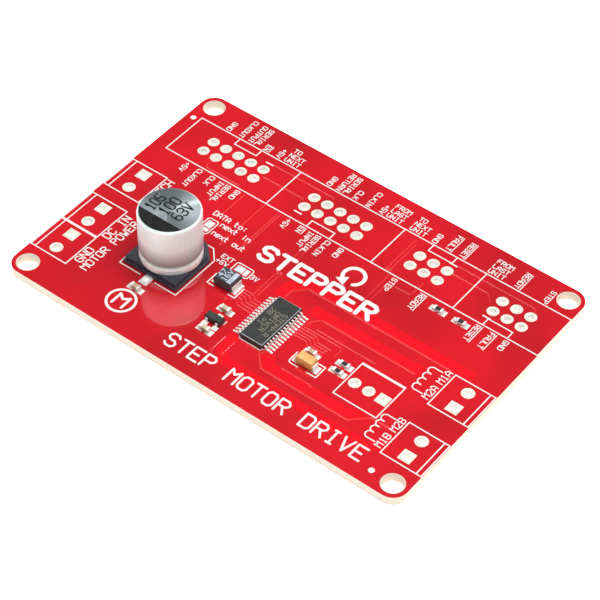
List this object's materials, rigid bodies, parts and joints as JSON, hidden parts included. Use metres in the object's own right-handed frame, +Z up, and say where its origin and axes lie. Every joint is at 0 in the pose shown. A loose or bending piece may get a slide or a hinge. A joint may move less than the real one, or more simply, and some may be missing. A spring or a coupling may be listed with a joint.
{
  "type": "stepper driver module",
  "caption": "Bare board with a stepper motor driver chip, supply capacitors, solder jumpers and plated holes for headers and screw terminals, held by screws at its corners.",
  "frame": {"origin": "centre of the board's underside, where the box of the whole part meets the bench", "axes": "+X along the board's long edge, from the supply side to the motor side; +Y towards the edge with the headers; +Z up through the board, out of its parts side"},
  "size_m": [0.0736, 0.0496, 0.0118],
  "materials": {
    "laminate": "satin",
    "solder_mask": "gloss",
    "copper": "satin",
    "tinned_copper": "satin",
    "solder": "satin",
    "tinned_lead": "satin",
    "tinned_cap": "satin",
    "can_aluminium": "satin",
    "base_plastic": "satin",
    "seal_rubber": "matte",
    "winding_foil": "matte",
    "chip_epoxy": "satin",
    "silicon": "polished",
    "gold_wire": "polished",
    "black_epoxy": "satin",
    "yellow_epoxy": "satin",
    "tantalum_slug": "matte",
    "diode_epoxy": "satin",
    "tan_ceramic": "satin",
    "plate_nickel": "satin",
    "resistor_ceramic": "matte",
    "resistor_glass": "gloss"
  },
  "bodies": {
    "root": {"laminate_core": "laminate", "copper_foil_top": "copper", "copper_foil_bottom": "copper", "heat_vias": "copper", "solder_mask_top": "solder_mask", "solder_mask_bottom": "solder_mask", "surface_pads": "tinned_copper", "fiducial_marks": "tinned_copper", "control_out_holes": "tinned_copper", "control_in_holes": "tinned_copper", "status_out_holes": "tinned_copper", "status_in_holes": "tinned_copper", "analog_input_holes": "tinned_copper", "switch_holes": "tinned_copper", "supply_holes": "tinned_copper", "ground_holes": "tinned_copper", "motor_coil_a_holes": "tinned_copper", "motor_coil_b_holes": "tinned_copper", "bulk_capacitor_can": "can_aluminium", "bulk_capacitor_base": "base_plastic", "bulk_capacitor_seal": "seal_rubber", "bulk_capacitor_winding": "winding_foil", "bulk_capacitor_plus_lead": "tinned_lead", "bulk_capacitor_minus_lead": "tinned_lead", "bulk_capacitor_solder": "solder", "driver_chip_case": "chip_epoxy", "driver_chip_leads_left": "tinned_lead", "driver_chip_leads_right": "tinned_lead", "driver_chip_heat_pad": "tinned_copper", "driver_chip_die": "silicon", "driver_chip_bond_wires": "gold_wire", "driver_chip_solder": "solder", "filter_capacitor_case": "black_epoxy", "filter_capacitor_minus_terminal": "tinned_lead", "filter_capacitor_plus_terminal": "tinned_lead", "filter_capacitor_slug": "tantalum_slug", "filter_capacitor_anode_wire": "tantalum_slug", "filter_capacitor_solder": "solder", "reservoir_capacitor_case": "yellow_epoxy", "reservoir_capacitor_minus_terminal": "tinned_lead", "reservoir_capacitor_plus_terminal": "tinned_lead", "reservoir_capacitor_slug": "tantalum_slug", "reservoir_capacitor_anode_wire": "tantalum_slug", "reservoir_capacitor_solder": "solder", "diode_pair_case": "diode_epoxy", "diode_pair_leads": "tinned_lead", "diode_pair_dies": "silicon", "diode_pair_solder": "solder", "ceramic_capacitor_bodies": "tan_ceramic", "ceramic_capacitor_plates": "plate_nickel", "ceramic_capacitor_end_caps": "tinned_cap", "ceramic_capacitor_solder": "solder", "resistor_substrates": "resistor_ceramic", "resistor_films": "resistor_glass", "resistor_end_caps": "tinned_cap", "resistor_solder": "solder", "jumper_solder_bridges": "solder"}
  },
  "joints": []
}
